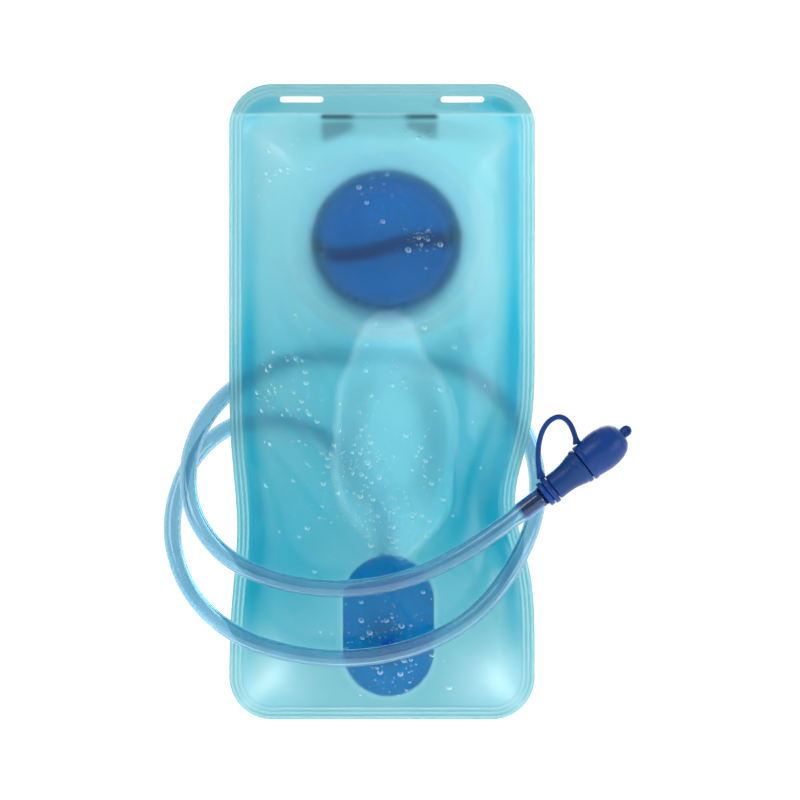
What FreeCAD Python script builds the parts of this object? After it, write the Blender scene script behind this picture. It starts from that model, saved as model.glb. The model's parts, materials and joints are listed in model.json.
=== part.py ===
import FreeCAD, Part
import math
import os
from FreeCAD import Vector

# Hydration bladder: a welded film reservoir that hangs by two slots, with a wide
# screw cap and an outlet on its front (+Y) side, and a drink hose wound round it.
# Millimetres. +Z up, +X to the right seen from the plain rear side, +Y out of the
# front side. The origin is midway between the two hang slots, in the weld plane.

# Bag
BAG_HALF_WIDTH = 85.5
BAG_TOP = 8.5
BAG_BOTTOM = -347.0
CORNER_R = 24.0
WELD_WIDTH = 7.0
HANG_BAND_Z = -8.5
FILM_T = 0.7
REAR_DEPTH_TOP = 21.0
REAR_DEPTH_BOTTOM = 13.0
FRONT_DEPTH = 15.0
FILM_GAP = 2.5

# The hose pulls the bag's side edges in: depth, height and spread on each side
PINCH_RIGHT = (11.0, -225.0, 34.0)
PINCH_LEFT = (4.5, -240.0, 40.0)

# Middle of the bag, where the front film sinks back towards the rear film
DENT_CENTRE = (6.0, -192.0)
DENT_RADII = (36.0, 66.0)

# Hang slots
SLOT_SPACING = 90.0
SLOT_LENGTH = 24.5
SLOT_WIDTH = 3.5

# Mouth: neck, cap and gasket turn about an axis that leans down by MOUTH_TILT
MOUTH_X = 2.5
MOUTH_Y = 6.0
MOUTH_Z = -78.0
MOUTH_TILT = 14.0
FLANGE_R = 52.0
FLANGE_T = 2.0
NECK_BORE_R = 33.0
NECK_R = 36.0
NECK_HEIGHT = 12.0
THREAD_PITCH = 4.0
THREAD_DEPTH = 1.15
THREAD_RADIAL_GAP = 0.35
THREAD_TURNS = 1.6
GASKET_T = 1.6
GASKET_GAP = 0.03
CAP_R = 43.0
CAP_TOP_T = 2.4
CAP_SKIRT_START = 1.6
GRIP_WIDTH = 9.0
GRIP_HEIGHT = 9.0
GRIP_SWAY = 4.5
CAP_RIBS = 48

# Outlet: an oval plate in the weld plane and a plug-in elbow with a hose barb
OUTLET_X = 3.6
OUTLET_Z = -294.5
OUTLET_W = 51.0
OUTLET_H = 79.0
OUTLET_T = 2.2
BOSS_Z = -306.0
BOSS_R = 12.0
BOSS_BORE_R = 8.0
BOSS_HEIGHT = 8.0
ELBOW_R = 13.5
ELBOW_Y0 = 8.3
ELBOW_Y1 = 25.5
HOSE_Y = 17.0
ELBOW_TOP_Z = -284.0
ORING_SECTION = 1.8

# Hose
HOSE_OD = 9.6
HOSE_ID = 6.4
HOSE_LAST_RUN = 30.0
HOSE_END_GAP = 4.6
BARB_GAP = 0.05
BARB_LENGTH = 15.0

# Mouthpiece, along its own axis from the middle of the leash ring
MOUTH_PIECE_AT = (91.5, -40.0, -217.0)
MOUTH_PIECE_RISE = 38.0
TETHER_RING_R = 7.9
COVER_R = 10.7
STRAP_WIDTH = 2.9
STRAP_T = 1.5

# Route of the hose: outlet, behind the bag, two turns round it, mouthpiece
HOSE_ROUTE = [
    (3.6, 17.0, -284.0),
    (3.6, 17.0, -254.0),
    (-3.0, 20.5, -222.5),
    (-23.0, 25.0, -193.0),
    (-53.5, 26.0, -177.0),
    (-86.0, 20.5, -180.5),
    (-111.0, 9.5, -204.0),
    (-119.5, -4.5, -240.5),
    (-107.5, -17.0, -275.0),
    (-81.0, -26.0, -298.0),
    (-48.0, -28.0, -308.0),
    (-13.0, -28.0, -310.5),
    (23.0, -28.0, -303.0),
    (53.0, -26.0, -286.0),
    (75.0, -20.0, -258.0),
    (87.5, -6.0, -229.0),
    (87.0, 11.0, -199.0),
    (73.0, 24.0, -168.0),
    (45.0, 29.0, -147.0),
    (8.0, 30.0, -139.0),
    (-30.0, 30.0, -139.0),
    (-65.0, 27.0, -148.0),
    (-94.0, 14.0, -168.0),
    (-108.0, -6.0, -196.0),
    (-106.0, -24.0, -228.0),
    (-87.0, -34.0, -254.0),
    (-56.0, -38.0, -267.5),
    (-22.0, -40.0, -271.5),
    (9.0, -40.0, -267.5),
    (37.0, -40.0, -256.0),
]


def vec(x, y, z):
    return Vector(x, y, z)


def clamp01(value):
    return max(0.0, min(1.0, value))


def smooth(value):
    t = clamp01(value)
    return t * t * (3.0 - 2.0 * t)


def pinch(side, z):
    depth, height, spread = side
    return depth * math.exp(-((z - height) / spread) ** 2)


def edge_right(z):
    return BAG_HALF_WIDTH - pinch(PINCH_RIGHT, z)


def edge_left(z):
    return -BAG_HALF_WIDTH + pinch(PINCH_LEFT, z)


def inside_weld(x, z):
    """Distance of a point inside the welded edge, negative on the weld itself."""
    half = (edge_right(z) - edge_left(z)) / 2.0 - WELD_WIDTH
    mid = (edge_right(z) + edge_left(z)) / 2.0
    low = BAG_BOTTOM + WELD_WIDTH
    radius = CORNER_R - WELD_WIDTH
    qx = abs(x - mid) - half + radius
    qz = abs(z - (low + HANG_BAND_Z) / 2.0) - (HANG_BAND_Z - low) / 2.0 + radius
    outside = math.hypot(max(qx, 0.0), max(qz, 0.0))
    return radius - outside - min(max(qx, qz), 0.0)


def pillow(x, z):
    """Share of its full depth that a film has bulged to, from 0 at the weld."""
    q = clamp01((inside_weld(x, z) - 3.0) / 42.0)
    return (1.0 - (1.0 - q) ** 2) ** 0.8


def rear_y(x, z):
    rise = smooth((z - BAG_BOTTOM) / 170.0)
    depth = REAR_DEPTH_BOTTOM + (REAR_DEPTH_TOP - REAR_DEPTH_BOTTOM) * rise
    return -depth * pillow(x, z)


def mouth_plane_y(z):
    return MOUTH_Y + (z - MOUTH_Z) * math.tan(math.radians(MOUTH_TILT))


def front_y(x, z):
    dent_x = (x - DENT_CENTRE[0]) / DENT_RADII[0]
    dent_z = (z - DENT_CENTRE[1]) / DENT_RADII[1]
    dent = 1.0 - smooth(math.hypot(dent_x, dent_z) * 1.6 - 0.6)
    y = FRONT_DEPTH * pillow(x, z)
    y += (rear_y(x, z) + FILM_GAP - y) * dent
    from_outlet = math.hypot((x - OUTLET_X), max(abs(z - OUTLET_Z) - 14.0, 0.0))
    y *= smooth((from_outlet - 42.0) / 26.0)
    from_mouth = math.hypot(x - MOUTH_X, z - MOUTH_Z)
    flat = 1.0 - smooth((from_mouth - FLANGE_R - 9.0) / 22.0)
    y += (mouth_plane_y(z) - y) * flat
    return y * clamp01((inside_weld(x, z) - 2.5) / 8.0)


def spread_out(count):
    """Steps from -1 to 1 that lie closer together near both ends."""
    reach = 0.85 * math.pi / 2.0
    steps = []
    for i in range(count):
        steps.append(math.sin(reach * (2.0 * i / (count - 1) - 1.0)) / math.sin(reach))
    return steps


def film_slab(height, thickness):
    """A film: a smooth cubic surface y = height(x, z), given a thickness along Y."""
    z_mid = (BAG_TOP + BAG_BOTTOM) / 2.0
    z_half = (BAG_TOP - BAG_BOTTOM) / 2.0 + 3.0
    poles = []
    for u in spread_out(35):
        row = []
        for w in spread_out(75):
            z = z_mid + z_half * w
            half = (edge_right(z) - edge_left(z)) / 2.0 + 3.0
            x = (edge_right(z) + edge_left(z)) / 2.0 + half * u
            row.append(vec(x, height(x, z), z))
        poles.append(row)
    surface = Part.BSplineSurface()
    u_knots = list(range(len(poles) - 2))
    w_knots = list(range(len(poles[0]) - 2))
    u_mults = [4] + [1] * (len(u_knots) - 2) + [4]
    w_mults = [4] + [1] * (len(w_knots) - 2) + [4]
    surface.buildFromPolesMultsKnots(poles, u_mults, w_mults, u_knots, w_knots, False, False, 3, 3)
    return surface.toShape().extrude(vec(0, thickness, 0))


def stadium(x, z, length, width, along_z):
    """Closed outline with two straight sides and round ends, in the weld plane."""
    r = width / 2.0
    reach = length / 2.0 - r
    places = [(-reach, -r), (reach, -r), (reach + r, 0), (reach, r), (-reach, r), (-reach - r, 0)]
    points = []
    for a, b in places:
        points.append(vec(x + b, 0, z + a) if along_z else vec(x + a, 0, z + b))
    edges = [Part.LineSegment(points[0], points[1]).toShape()]
    edges.append(Part.Arc(points[1], points[2], points[3]).toShape())
    edges.append(Part.LineSegment(points[3], points[4]).toShape())
    edges.append(Part.Arc(points[4], points[5], points[0]).toShape())
    return Part.Wire(edges)


def bag_outline():
    """Outer edge of the bag in the weld plane."""
    top = BAG_TOP - CORNER_R
    low = BAG_BOTTOM + CORNER_R
    heights = [top + (low - top) * i / 12.0 for i in range(13)]
    right = Part.BSplineCurve()
    right.interpolate([vec(edge_right(z), 0, z) for z in heights])
    left = Part.BSplineCurve()
    left.interpolate([vec(edge_left(z), 0, z) for z in reversed(heights)])
    slant = CORNER_R * (1.0 - math.sqrt(0.5))
    corners = []
    for side, z_end, z_corner in ((1, top, BAG_TOP), (1, low, BAG_BOTTOM),
                                  (-1, low, BAG_BOTTOM), (-1, top, BAG_TOP)):
        edge = edge_right(z_end) if side > 0 else edge_left(z_end)
        up = 1 if z_corner > z_end else -1
        mid = vec(edge - side * slant, 0, z_corner - up * slant)
        corners.append((vec(edge, 0, z_end), mid, vec(edge - side * CORNER_R, 0, z_corner)))
    edges = [right.toShape(), Part.Arc(*corners[1]).toShape()]
    edges.append(Part.LineSegment(corners[1][2], corners[2][2]).toShape())
    edges.append(Part.Arc(corners[2][2], corners[2][1], corners[2][0]).toShape())
    edges.append(left.toShape())
    edges.append(Part.Arc(*corners[3]).toShape())
    edges.append(Part.LineSegment(corners[3][2], corners[0][2]).toShape())
    edges.append(Part.Arc(corners[0][2], corners[0][1], corners[0][0]).toShape())
    return Part.Wire(Part.__sortEdges__(edges))


def through_bag(wire):
    """A block that reaches right through the bag along Y, with the wire's outline."""
    face = Part.Face(wire)
    face.translate(vec(0, -60, 0))
    return face.extrude(vec(0, 120, 0))


def bag_block():
    block = through_bag(bag_outline())
    for side in (-1, 1):
        slot = stadium(side * SLOT_SPACING / 2.0, 0.0, SLOT_LENGTH, SLOT_WIDTH, False)
        block = block.cut(through_bag(slot))
    return block


def at_mouth(shape):
    """Move a shape from the mouth's own frame, +Z outwards, to its place on the bag."""
    shape.rotate(vec(0, 0, 0), vec(1, 0, 0), -90.0 - MOUTH_TILT)
    shape.translate(vec(MOUTH_X, MOUTH_Y, MOUTH_Z))
    return shape


def at_outlet(shape):
    """Move a shape from the outlet's own frame, +Z outwards, to its place on the bag."""
    shape.rotate(vec(0, 0, 0), vec(1, 0, 0), -90.0)
    shape.translate(vec(OUTLET_X, 0.0, BOSS_Z))
    return shape


def at_mouthpiece(shape):
    """Move a shape from the mouthpiece's own frame, +Z towards its tip, to its place."""
    shape.rotate(vec(0, 0, 0), vec(0, 1, 0), 90.0 - MOUTH_PIECE_RISE)
    shape.translate(vec(*MOUTH_PIECE_AT))
    return shape


def turned(profile):
    """Solid of revolution about Z of a closed outline of (radius, height) points."""
    points = [vec(r, 0, z) for r, z in profile]
    wire = Part.makePolygon(points + [points[0]])
    return Part.Face(wire).revolve(vec(0, 0, 0), vec(0, 0, 1), 360.0)


def tube(outer, inner, low, high):
    solid = Part.makeCylinder(outer, high - low, vec(0, 0, low))
    return solid.cut(Part.makeCylinder(inner, high - low + 2.0, vec(0, 0, low - 1.0)))


def thread_ridge(root, crest, start, turns):
    """One helical ridge from the root radius to the crest, sunk a little into its wall."""
    sink = 0.3 if crest > root else -0.3
    helix = Part.makeHelix(THREAD_PITCH, THREAD_PITCH * turns, root)
    profile = [vec(root - sink, 0, -0.9), vec(crest, 0, -0.45)]
    profile += [vec(crest, 0, 0.45), vec(root - sink, 0, 0.9)]
    wire = Part.makePolygon(profile + [profile[0]])
    ridge = Part.Wire(helix.Edges).makePipeShell([wire], True, True)
    ridge.translate(vec(0, 0, start))
    return ridge


def make_rear_film(block):
    return film_slab(rear_y, -FILM_T).common(block)


def make_front_film(block):
    film = film_slab(front_y, FILM_T).common(block)
    film = film.cut(at_mouth(Part.makeCylinder(NECK_R + 1.5, 40.0, vec(0, 0, -20.0))))
    return film.cut(at_outlet(Part.makeCylinder(BOSS_R + 1.0, 10.0, vec(0, 0, -5.0))))


def make_neck():
    flange = Part.makeCylinder(FLANGE_R, FLANGE_T, vec(0, 0, -FLANGE_T))
    neck = flange.fuse(Part.makeCylinder(NECK_R, NECK_HEIGHT))
    neck = neck.fuse(thread_ridge(NECK_R, NECK_R + THREAD_DEPTH, 3.2, THREAD_TURNS))
    bore = Part.makeCylinder(NECK_BORE_R, 40.0, vec(0, 0, -20.0))
    return at_mouth(neck.cut(bore).removeSplitter())


def cap_top_z():
    return NECK_HEIGHT + GASKET_T + CAP_TOP_T


def make_grip():
    """The grip bar across the cap: a gently S-shaped bar with a rounded ridge."""
    reach = CAP_R - 1.5
    wave = Part.BSplineCurve()
    wave.interpolate([vec(-reach, GRIP_SWAY, 0), vec(-reach * 0.5, GRIP_SWAY * 0.95, 0), vec(0, 0.5, 0),
                      vec(reach * 0.5, -GRIP_SWAY * 1.1, 0), vec(reach, -GRIP_SWAY, 0)])
    half = GRIP_WIDTH / 2.0
    rise = GRIP_HEIGHT - half
    corners = [vec(-reach, -half, -0.5), vec(-reach, -half, rise), vec(-reach, 0, GRIP_HEIGHT),
               vec(-reach, half, rise), vec(-reach, half, -0.5)]
    profile = [Part.LineSegment(corners[0], corners[1]).toShape()]
    profile.append(Part.Arc(corners[1], corners[2], corners[3]).toShape())
    profile.append(Part.LineSegment(corners[3], corners[4]).toShape())
    profile.append(Part.LineSegment(corners[4], corners[0]).toShape())
    section = Part.Wire(profile)
    section.translate(vec(0, GRIP_SWAY, 0))
    grip = Part.Wire(wave.toShape()).makePipeShell([section], True, False)
    grip = grip.common(Part.makeCylinder(CAP_R - 2.5, 40.0, vec(0, 0, -10.0)))
    grip.translate(vec(0, 0, cap_top_z()))
    return grip


def make_cap():
    top = cap_top_z()
    wall = NECK_R + THREAD_DEPTH + THREAD_RADIAL_GAP
    body = turned([(0, CAP_SKIRT_START), (CAP_R - 0.8, CAP_SKIRT_START), (CAP_R, CAP_SKIRT_START + 0.8),
                   (CAP_R, top - 2.2), (CAP_R - 0.7, top - 0.7), (CAP_R - 2.2, top), (0, top)])
    body = body.cut(Part.makeCylinder(wall, top - CAP_TOP_T, vec(0, 0, 0)))
    ridge_crest = NECK_R + THREAD_RADIAL_GAP
    start = 3.2 + THREAD_PITCH / 2.0
    body = body.fuse(thread_ridge(wall, ridge_crest, start, THREAD_TURNS - 0.5))
    body = body.fuse(make_grip())
    flute = Part.makeCylinder(1.1, top, vec(CAP_R + 0.5, 0, -0.1))
    flutes = []
    for i in range(CAP_RIBS):
        copy = flute.copy()
        copy.rotate(vec(0, 0, 0), vec(0, 0, 1), 360.0 * (i + 0.5) / CAP_RIBS)
        flutes.append(copy)
    return at_mouth(body.cut(flutes))


def make_gasket():
    low = NECK_HEIGHT + GASKET_GAP
    high = NECK_HEIGHT + GASKET_T - GASKET_GAP
    return at_mouth(tube(NECK_R + 1.0, NECK_BORE_R + 0.3, low, high))


def make_outlet_base():
    plate = Part.Face(stadium(OUTLET_X, OUTLET_Z, OUTLET_H, OUTLET_W, True))
    plate = plate.extrude(vec(0, -OUTLET_T, 0))
    boss = at_outlet(Part.makeCylinder(BOSS_R, BOSS_HEIGHT + 1.0, vec(0, 0, -1.0)))
    bore = at_outlet(Part.makeCylinder(BOSS_BORE_R, 30.0, vec(0, 0, -15.0)))
    return plate.fuse(boss).cut(bore).removeSplitter()


def barb(length, stem, crest, count):
    """Outline of a hose barb from its root at height 0: (radius, height) points."""
    points = [(stem, 0.0)]
    pitch = length / count
    for i in range(count):
        points.append((stem, pitch * i + 0.45 * pitch))
        points.append((crest, pitch * i + 0.45 * pitch))
        points.append((stem, pitch * (i + 1)))
    return points


def make_outlet_elbow():
    spigot = Part.makeCylinder(BOSS_BORE_R - BARB_GAP, ELBOW_Y0 + 1.5, vec(0, 0, -1.2))
    groove = tube(BOSS_BORE_R + 2.0, BOSS_BORE_R - ORING_SECTION, 3.1, 3.1 + ORING_SECTION + 0.4)
    body = turned([(0, ELBOW_Y0), (ELBOW_R - 1.0, ELBOW_Y0), (ELBOW_R, ELBOW_Y0 + 1.0),
                   (ELBOW_R, ELBOW_Y1 - 3.0), (ELBOW_R - 1.0, ELBOW_Y1 - 1.0), (ELBOW_R - 3.0, ELBOW_Y1),
                   (0, ELBOW_Y1)])
    body = body.fuse(spigot).cut(groove)
    at_outlet(body)
    stem = HOSE_ID / 2.0 - BARB_GAP
    riser = Part.makeCylinder(8.2, ELBOW_TOP_Z - BOSS_Z, vec(OUTLET_X, HOSE_Y, BOSS_Z), vec(0, 0, 1))
    points = barb(BARB_LENGTH, stem - 0.55, stem, 4)
    spout = turned([(0, -4.0), (points[0][0], -4.0)] + points + [(0, BARB_LENGTH)])
    spout.translate(vec(OUTLET_X, HOSE_Y, ELBOW_TOP_Z))
    body = body.fuse([riser, spout])
    way_out = Part.makeCylinder(2.0, 60.0, vec(OUTLET_X, HOSE_Y, BOSS_Z), vec(0, 0, 1))
    way_in = Part.makeCylinder(4.0, HOSE_Y + 10.0, vec(OUTLET_X, -10.0, BOSS_Z), vec(0, 1, 0))
    return body.cut([way_out, way_in]).removeSplitter()


def make_outlet_o_ring():
    ring = Part.makeTorus(BOSS_BORE_R - ORING_SECTION / 2.0, ORING_SECTION / 2.0 - 0.03)
    ring.translate(vec(0, 0, 3.1 + 0.2 + ORING_SECTION / 2.0))
    return at_outlet(ring)


def hose_points():
    """The whole route: it ends straight, behind the mouthpiece's connector."""
    rise = math.radians(MOUTH_PIECE_RISE)
    along = vec(math.cos(rise), 0, math.sin(rise))
    end = vec(*MOUTH_PIECE_AT) - along * HOSE_END_GAP
    return [vec(*p) for p in HOSE_ROUTE] + [end - along * HOSE_LAST_RUN, end]


def rounded_path(points):
    """Straight runs joined by tangent arcs. Returns the wire and its smallest radius."""
    edges = []
    start = points[0]
    smallest = 1e9
    for before, corner, after in zip(points, points[1:], points[2:]):
        into = (corner - before).normalize()
        out = (after - corner).normalize()
        turn = into.getAngle(out)
        reach = 0.45 * min((corner - before).Length, (after - corner).Length)
        radius = reach / math.tan(turn / 2.0)
        smallest = min(smallest, radius)
        print("hose corner %s turn %.0f deg radius %.1f" % (tuple(corner), math.degrees(turn), radius))
        first = corner - into * reach
        last = corner + out * reach
        inward = (out - into).normalize()
        mid = corner + inward * (radius / math.cos(turn / 2.0) - radius)
        edges.append(Part.LineSegment(start, first).toShape())
        edges.append(Part.Arc(first, mid, last).toShape())
        start = last
    edges.append(Part.LineSegment(start, points[-1]).toShape())
    return Part.Wire(edges), smallest


def make_hose():
    points = hose_points()
    path, smallest = rounded_path(points)
    along = (points[1] - points[0]).normalize()
    skins = []
    for radius in (HOSE_OD / 2.0, HOSE_ID / 2.0):
        ring = Part.Wire(Part.Circle(points[0], along, radius).toShape())
        skins.append(path.makePipeShell([ring], True, False))
    hose = skins[0].cut(skins[1])
    section = math.pi * (HOSE_OD ** 2 - HOSE_ID ** 2) / 4.0
    print("hose length %.1f smallest radius %.1f" % (path.Length, smallest))
    print("hose volume %.0f section x length %.0f" % (hose.Volume, section * path.Length))
    return hose


def make_connector():
    """Barbed joiner: one barb in the hose, a flange, and a barb in the bite valve."""
    stem = HOSE_ID / 2.0 - BARB_GAP
    lower = [(r, -HOSE_END_GAP - h) for r, h in barb(BARB_LENGTH, stem - 0.55, stem, 4)]
    upper = [(r, 2.0 + h) for r, h in barb(12.0, 3.9, 4.4, 2)]
    profile = [(2.0, -HOSE_END_GAP - BARB_LENGTH)] + lower[::-1]
    profile += [(7.2, -HOSE_END_GAP), (7.2, -1.9), (5.6, -1.9), (5.6, 2.0)]
    profile += upper + [(2.0, 14.0)]
    return at_mouthpiece(turned(profile))


def make_tether_ring():
    return at_mouthpiece(tube(TETHER_RING_R, 5.65, -1.5, 1.5))


def make_bite_valve():
    """Silicone valve: a waisted sleeve, a lip, and a rounded bulb with a slit."""
    sleeve = [(4.45, 2.0), (7.1, 2.0), (7.3, 4.5), (7.4, 8.0), (7.8, 12.0), (8.7, 16.0),
              (9.7, 19.0), (10.2, 21.0), (10.0, 22.4), (8.0, 22.6)]
    bulb = [(8.0, 34.0), (7.4, 37.5), (5.6, 40.0), (2.6, 41.3), (0, 41.5)]
    inside = [(0, 39.8), (2.4, 39.4), (4.3, 37.5), (5.0, 34.0), (5.0, 15.0), (4.45, 14.2)]
    valve = turned(sleeve + bulb + inside)
    slit = Part.makeBox(0.4, 7.0, 5.0, vec(-0.2, -3.5, 38.0))
    return at_mouthpiece(valve.cut(slit))


def make_dust_cover():
    """Cover over the bulb, with a flat round tab at its tip."""
    rim = [(8.4, 22.9), (10.1, 22.9), (COVER_R, 23.6), (COVER_R, 25.2), (10.4, 25.8)]
    shell = [(10.8, 29.0), (11.3, 33.5), (11.2, 38.0), (10.3, 42.4), (8.5, 46.0), (6.0, 48.4)]
    shell += [(3.0, 49.7), (0, 50.0)]
    inside = [(0, 43.5), (4.0, 43.0), (7.0, 40.5), (8.4, 36.5)]
    cover = turned(rim + shell + inside)
    tab = Part.Face(stadium(0.0, 50.0, 10.4, 5.8, True)).extrude(vec(0, 2.2, 0))
    tab.translate(vec(0, -1.1, 0))
    dimple = Part.makeCylinder(1.3, 0.7, vec(0, -1.1, 52.3), vec(0, 1, 0))
    return at_mouthpiece(cover.fuse(tab.cut(dimple)))


def make_tether_strap():
    """Flat leash in a tall arch from the ring to the side of the dust cover."""
    arch = Part.BSplineCurve()
    start = vec(0.5 - TETHER_RING_R, 0, 0.0)
    arch.interpolate([start, vec(-14.2, 0, 2.9), vec(-19.6, 0, 6.8), vec(-25.4, 0, 13.3),
                      vec(-29.0, 0, 21.0), vec(-27.8, 0, 27.6), vec(-22.5, 0, 30.0),
                      vec(-16.4, 0, 29.0), vec(-COVER_R, 0, 26.8)])
    across = arch.tangent(arch.FirstParameter)[0].cross(vec(0, 1, 0)) * (STRAP_WIDTH / 2.0)
    thick = vec(0, STRAP_T / 2.0, 0)
    corners = [start - across - thick, start - across + thick, start + across + thick, start + across - thick]
    wire = Part.makePolygon(corners + [corners[0]])
    strap = Part.Wire(arch.toShape()).makePipeShell([wire], True, False)
    strap = strap.cut(Part.makeCylinder(TETHER_RING_R, 6.0, vec(0, 0, -3.0)))
    return at_mouthpiece(strap.cut(Part.makeCylinder(COVER_R + 0.6, 12.0, vec(0, 0, 20.0))))


def save(name, shape):
    solids = shape.Solids
    shape = solids[0] if len(solids) == 1 else Part.Compound(solids)
    print("%-22s solids %d valid %s volume %.1f" % (name, len(solids), shape.isValid(), shape.Volume))
    shape.exportStep("parts/%s.step" % name)


os.makedirs("parts", exist_ok=True)
outline = bag_block()
save("rear_film", make_rear_film(outline))
save("front_film", make_front_film(outline))
save("mouth_neck", make_neck())
save("screw_cap", make_cap())
save("cap_gasket", make_gasket())
save("outlet_base", make_outlet_base())
save("outlet_elbow", make_outlet_elbow())
save("outlet_o_ring", make_outlet_o_ring())
save("drink_hose", make_hose())
save("mouthpiece_connector", make_connector())
save("tether_ring", make_tether_ring())
save("tether_strap", make_tether_strap())
save("bite_valve", make_bite_valve())
save("dust_cover", make_dust_cover())
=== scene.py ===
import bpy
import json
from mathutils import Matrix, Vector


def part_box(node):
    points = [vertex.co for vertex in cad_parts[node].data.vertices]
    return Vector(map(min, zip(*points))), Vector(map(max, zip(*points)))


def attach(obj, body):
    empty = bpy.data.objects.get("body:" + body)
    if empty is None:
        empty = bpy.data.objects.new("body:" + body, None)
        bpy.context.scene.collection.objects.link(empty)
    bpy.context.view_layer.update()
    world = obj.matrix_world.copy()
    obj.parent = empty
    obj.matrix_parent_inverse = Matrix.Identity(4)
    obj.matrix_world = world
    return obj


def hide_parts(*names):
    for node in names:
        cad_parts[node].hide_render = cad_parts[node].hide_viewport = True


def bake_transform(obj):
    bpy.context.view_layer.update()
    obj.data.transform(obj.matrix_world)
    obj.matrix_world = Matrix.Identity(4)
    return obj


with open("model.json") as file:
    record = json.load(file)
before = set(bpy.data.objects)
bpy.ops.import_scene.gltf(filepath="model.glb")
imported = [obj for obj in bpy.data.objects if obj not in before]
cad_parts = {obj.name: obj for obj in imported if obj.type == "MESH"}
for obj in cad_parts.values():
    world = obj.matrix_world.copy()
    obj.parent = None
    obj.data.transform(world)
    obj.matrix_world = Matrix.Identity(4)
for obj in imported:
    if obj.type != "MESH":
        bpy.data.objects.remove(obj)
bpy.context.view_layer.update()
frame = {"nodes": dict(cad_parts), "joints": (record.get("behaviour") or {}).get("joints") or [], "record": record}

import json
import math
import random
from contextlib import contextmanager

import bmesh
import bpy
import numpy as np
from mathutils import Matrix, Vector, noise
from mathutils.bvhtree import BVHTree

# Metres, in the frame of the part: origin between the two hang slots, +Z up, the
# camera on the -Y side, the mouth and the outlet on the +Y side.

joints = {joint["name"]: joint for joint in frame["joints"]}
root = "root"

# Bag
REAR_LOW, REAR_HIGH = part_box("rear_film")
HALF_WIDTH = REAR_HIGH.x
BAG_TOP = REAR_HIGH.z
BAG_BOTTOM = REAR_LOW.z
CORNER_R = 0.024
WELD_WIDTH = 0.007
HANG_BAND_Z = -0.0085
PINCH_RIGHT = (0.011, -0.225, 0.034)  # depth, height and spread of the waist
PINCH_LEFT = (0.0045, -0.240, 0.040)
WELD_RIDGES = (0.0012, 0.0036, 0.0060)
WELD_GROOVES = (0.0024, 0.0048, 0.0073)
WELD_LINE = 0.00042
CAD_FILM_T = 0.0007
SHEET_T = 0.00045

# Hang slots, from the record's mount
SLOT = frame["record"]["mounts"][0]["dims"]
SLOT_SPACING = SLOT["spacing_x_mm"] / 1000.0
SLOT_LENGTH = SLOT["slot_length_mm"] / 1000.0
SLOT_WIDTH = 2.0 * SLOT["hole_r_mm"] / 1000.0

# Mouth and outlet
MOUTH = Vector(joints["cap_turn"]["pos_m"])
MOUTH_OUT = Vector(joints["cap_turn"]["axis"])
MOUTH_UP = Vector((1, 0, 0)).cross(MOUTH_OUT)
MOUTH_HOLE_R = 0.0375
FLANGE_R = 0.052
MOUTH_WELDS = (FLANGE_R + 0.0025, FLANGE_R + 0.0055)
OUTLET_LOW, OUTLET_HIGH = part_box("outlet_base")
ELBOW_LOW, ELBOW_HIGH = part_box("outlet_elbow")
BOSS = Vector(((OUTLET_LOW.x + OUTLET_HIGH.x) / 2.0, 0.0, -0.306))
BOSS_HOLE_R = 0.0128

# Hose: the same route as in the part's source
HOSE_OD = 0.0096
HOSE_ID = 0.0064
LEASH_AT = Vector(joints["leash_turn"]["pos_m"])
ALONG = Vector(joints["leash_turn"]["axis"]).normalized()
HOSE_END = LEASH_AT - ALONG * 0.0046
BARB_REACH = 0.0148
HOSE_ON_FITTING = 0.019
HOSE_ROUTE = [
    (0.0036, 0.017, -0.284),
    (0.0036, 0.017, -0.254),
    (-0.003, 0.0205, -0.2225),
    (-0.023, 0.025, -0.193),
    (-0.0535, 0.026, -0.177),
    (-0.086, 0.0205, -0.1805),
    (-0.111, 0.0095, -0.204),
    (-0.1195, -0.0045, -0.2405),
    (-0.1075, -0.017, -0.275),
    (-0.081, -0.026, -0.298),
    (-0.048, -0.028, -0.308),
    (-0.013, -0.028, -0.3105),
    (0.023, -0.028, -0.303),
    (0.053, -0.026, -0.286),
    (0.075, -0.020, -0.258),
    (0.0875, -0.006, -0.229),
    (0.087, 0.011, -0.199),
    (0.073, 0.024, -0.168),
    (0.045, 0.029, -0.147),
    (0.008, 0.030, -0.139),
    (-0.030, 0.030, -0.139),
    (-0.065, 0.027, -0.148),
    (-0.094, 0.014, -0.168),
    (-0.108, -0.006, -0.196),
    (-0.106, -0.024, -0.228),
    (-0.087, -0.034, -0.254),
    (-0.056, -0.038, -0.2675),
    (-0.022, -0.040, -0.2715),
    (0.009, -0.040, -0.2675),
    (0.037, -0.040, -0.256),
    tuple(HOSE_END - ALONG * 0.030),
    tuple(HOSE_END),
]


# ---- helpers

def clamp01(value):
    return max(0.0, min(1.0, value))


def smooth(value):
    t = clamp01(value)
    return t * t * (3.0 - 2.0 * t)


def shade_smooth(mesh):
    mesh.polygons.foreach_set("use_smooth", [True] * len(mesh.polygons))


def link_mesh(name, verts, faces):
    mesh = bpy.data.meshes.new(name)
    mesh.from_pydata([tuple(v) for v in verts], [], faces)
    mesh.update()
    obj = bpy.data.objects.new(name, mesh)
    bpy.context.scene.collection.objects.link(obj)
    shade_smooth(mesh)
    return obj


def carry(obj, label, values):
    """Give each point of a mesh a number that its material reads."""
    attribute = obj.data.attributes.new(label, "FLOAT", "POINT")
    attribute.data.foreach_set("value", values)


@contextmanager
def edited(obj):
    """An object's mesh as a bmesh, written back at the end."""
    mesh = bmesh.new()
    mesh.from_mesh(obj.data)
    yield mesh
    mesh.to_mesh(obj.data)
    mesh.free()


def evaluated_mesh(obj):
    depsgraph = bpy.context.evaluated_depsgraph_get()
    return bpy.data.meshes.new_from_object(obj.evaluated_get(depsgraph))


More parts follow.
